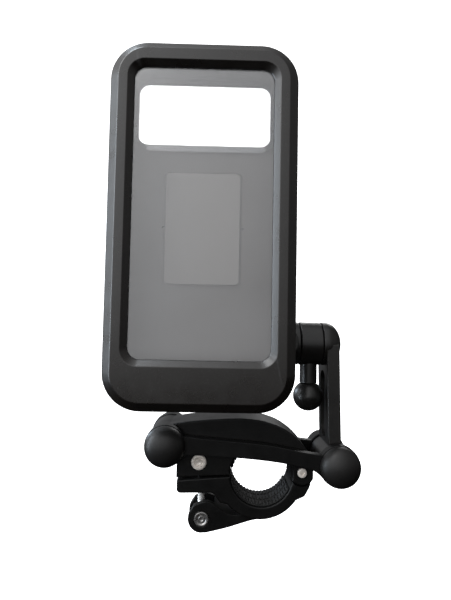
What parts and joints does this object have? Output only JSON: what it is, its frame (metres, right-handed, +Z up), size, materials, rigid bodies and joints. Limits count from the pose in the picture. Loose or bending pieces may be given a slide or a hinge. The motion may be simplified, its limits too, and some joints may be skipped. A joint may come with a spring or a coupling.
{
  "type": "bicycle phone mount",
  "caption": "Handlebar phone mount: closed phone case with a clear touch film on a swivel, tilting head and folding arms, held by a quick-release clamp.",
  "frame": {"origin": "middle of the upper liner's top flat, where it sits on the handlebar; the bore centre is 16.08 mm below it", "axes": "+X to the rider's right, +Y along the bore away from the rider, +Z up; the screen faces -Y"},
  "size_m": [0.1354, 0.0719, 0.2582],
  "materials": {
    "case_abs": "satin black, fine moulded grain",
    "black_nylon": "satin black glass-filled nylon",
    "grey_liner": "satin grey inner face",
    "clear_film": "clear, slightly hazy film",
    "clear_window": "clear polycarbonate",
    "rubber": "matt black rubber",
    "steel": "bright zinc-plated steel"
  },
  "bodies": {
    "clamp": {"upper_jaw": "black_nylon", "upper_liner": "rubber", "anchor_pin": "steel", "jaw_pin": "steel", "jaw_pin_nut": "steel"},
    "lower_jaw": {"lower_jaw": "black_nylon", "lower_liner": "rubber"},
    "swing_bolt": {"swing_bolt": "steel", "lever_pin": "steel"},
    "cam_lever": {"cam_lever": "black_nylon"},
    "lower_arm": {"lower_arm_front": "black_nylon", "lower_arm_rear": "black_nylon", "pivot_cap_left": "black_nylon", "pivot_cap_right": "black_nylon", "base_bolt": "steel", "base_nut": "steel", "base_washer_front": "steel", "base_washer_rear": "steel", "fold_bolt": "steel", "fold_nut": "steel", "fold_washer_front": "steel", "fold_washer_rear": "steel"},
    "upper_arm": {"upper_arm": "black_nylon", "tilt_bolt": "steel", "tilt_nut": "steel"},
    "lock_lever": {"lock_lever": "black_nylon", "lever_ball": "black_nylon"},
    "head": {"head_bracket": "black_nylon"},
    "case": {"back_shell": "grey_liner", "camera_window": "clear_window", "inner_plate": "grey_liner", "seal_gasket": "rubber", "rear_plate": "case_abs", "rear_screw_1": "steel", "rear_screw_2": "steel", "rear_screw_3": "steel", "rear_screw_4": "steel", "swivel_bolt": "steel", "swivel_washer": "steel", "swivel_nut": "steel", "cover_hinge_pin": "steel"},
    "cover": {"front_frame": "case_abs", "touch_film": "clear_film", "film_retainer": "case_abs"},
    "lock_slider": {"lock_slider": "case_abs"}
  },
  "joints": [
    {"name": "jaw_open", "type": "hinge", "parent": "clamp", "child": "lower_jaw", "pos_m": [0.0226, 0, -0.01448], "axis": [0, -1, 0], "range_deg": [0, 7.8]},
    {"name": "bolt_swing", "type": "hinge", "parent": "clamp", "child": "swing_bolt", "pos_m": [-0.0348, 0, -0.00943], "axis": [0, 1, 0], "range_deg": [0, 78]},
    {"name": "cam_lever_turn", "type": "hinge", "parent": "swing_bolt", "child": "cam_lever", "pos_m": [-0.0329, 0, -0.04168], "axis": [0, 1, 0], "range_deg": [0, 150]},
    {"name": "lower_arm_swing", "type": "hinge", "parent": "clamp", "child": "lower_arm", "pos_m": [-0.0532, 0, 0.00072], "axis": [0, 1, 0], "range_deg": [-150, 10]},
    {"name": "upper_arm_fold", "type": "hinge", "parent": "lower_arm", "child": "upper_arm", "pos_m": [0.042, 0, -0.00908], "axis": [0, 1, 0], "range_deg": [-6, 180]},
    {"name": "lock_lever_turn", "type": "hinge", "parent": "upper_arm", "child": "lock_lever", "pos_m": [0.028, 0, 0.05672], "axis": [1, 0, 0], "range_deg": [-90, 90]},
    {"name": "head_tilt", "type": "hinge", "parent": "upper_arm", "child": "head", "pos_m": [0.028, 0, 0.05672], "axis": [1, 0, 0], "range_deg": [-75, 12]},
    {"name": "case_spin", "type": "hinge", "parent": "head", "child": "case", "pos_m": [-0.0347, -0.021, 0.11642], "axis": [0, 1, 0], "continuous": true},
    {"name": "cover_open", "type": "hinge", "parent": "case", "child": "cover", "pos_m": [-0.0802, -0.0315, 0.11642], "axis": [0, 0, -1], "range_deg": [0, 110]},
    {"name": "lock_slide", "type": "slide", "parent": "case", "child": "lock_slider", "axis": [0, 0, 1], "range_m": [0, 0.008]}
  ],
  "couplings": [
    {"joint": "jaw_open", "follows": "bolt_swing", "ratio": 0.1}
  ]
}
